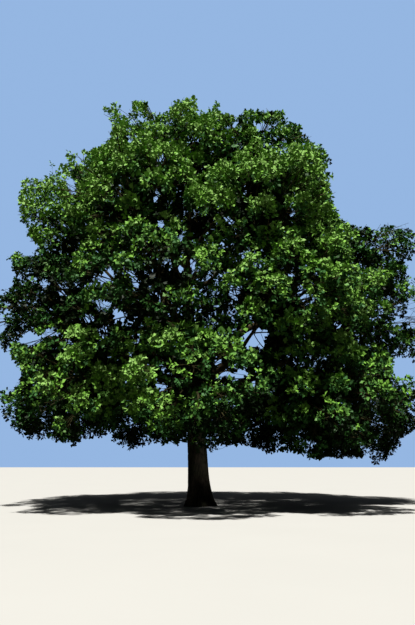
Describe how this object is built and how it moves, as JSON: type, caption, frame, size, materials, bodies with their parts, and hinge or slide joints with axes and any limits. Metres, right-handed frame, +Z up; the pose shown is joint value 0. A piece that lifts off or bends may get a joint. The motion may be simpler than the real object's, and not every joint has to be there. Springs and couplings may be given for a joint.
{
  "type": "oak tree",
  "caption": "Open-grown oak in full summer leaf: a short thick trunk with a root flare, spreading boughs and a broad domed crown.",
  "frame": {"origin": "middle of the flat cut under the trunk, at ground level", "axes": "+Z up the trunk; +X to the tree's right and -Y to its front, as the view shows it"},
  "size_m": [18.3544, 16.8093, 17.0791],
  "materials": {
    "bark": "rough",
    "leaves": "satin"
  },
  "bodies": {
    "root": {"bough_high_1": "bark", "bough_high_2": "bark", "bough_high_3": "bark", "bough_high_4": "bark", "bough_high_5": "bark", "bough_high_6": "bark", "bough_low_1": "bark", "bough_low_2": "bark", "bough_low_3": "bark", "bough_low_4": "bark", "bough_low_5": "bark", "bough_low_6": "bark", "bough_low_7": "bark", "bough_mid_1": "bark", "bough_mid_2": "bark", "bough_mid_3": "bark", "bough_mid_4": "bark", "bough_mid_5": "bark", "bough_mid_6": "bark", "bough_mid_7": "bark", "bough_upper_1": "bark", "bough_upper_2": "bark", "bough_upper_3": "bark", "bough_upper_4": "bark", "bough_upper_5": "bark", "foliage_high_1": "leaves", "foliage_high_2": "leaves", "foliage_high_3": "leaves", "foliage_high_4": "leaves", "foliage_high_5": "leaves", "foliage_high_6": "leaves", "foliage_low_1": "leaves", "foliage_low_2": "leaves", "foliage_low_3": "leaves", "foliage_low_4": "leaves", "foliage_low_5": "leaves", "foliage_low_6": "leaves", "foliage_low_7": "leaves", "foliage_mid_1": "leaves", "foliage_mid_2": "leaves", "foliage_mid_3": "leaves", "foliage_mid_4": "leaves", "foliage_mid_5": "leaves", "foliage_mid_6": "leaves", "foliage_mid_7": "leaves", "foliage_top_1": "leaves", "foliage_upper_1": "leaves", "foliage_upper_2": "leaves", "foliage_upper_3": "leaves", "foliage_upper_4": "leaves", "foliage_upper_5": "leaves", "leader": "bark", "trunk": "bark"}
  },
  "joints": []
}
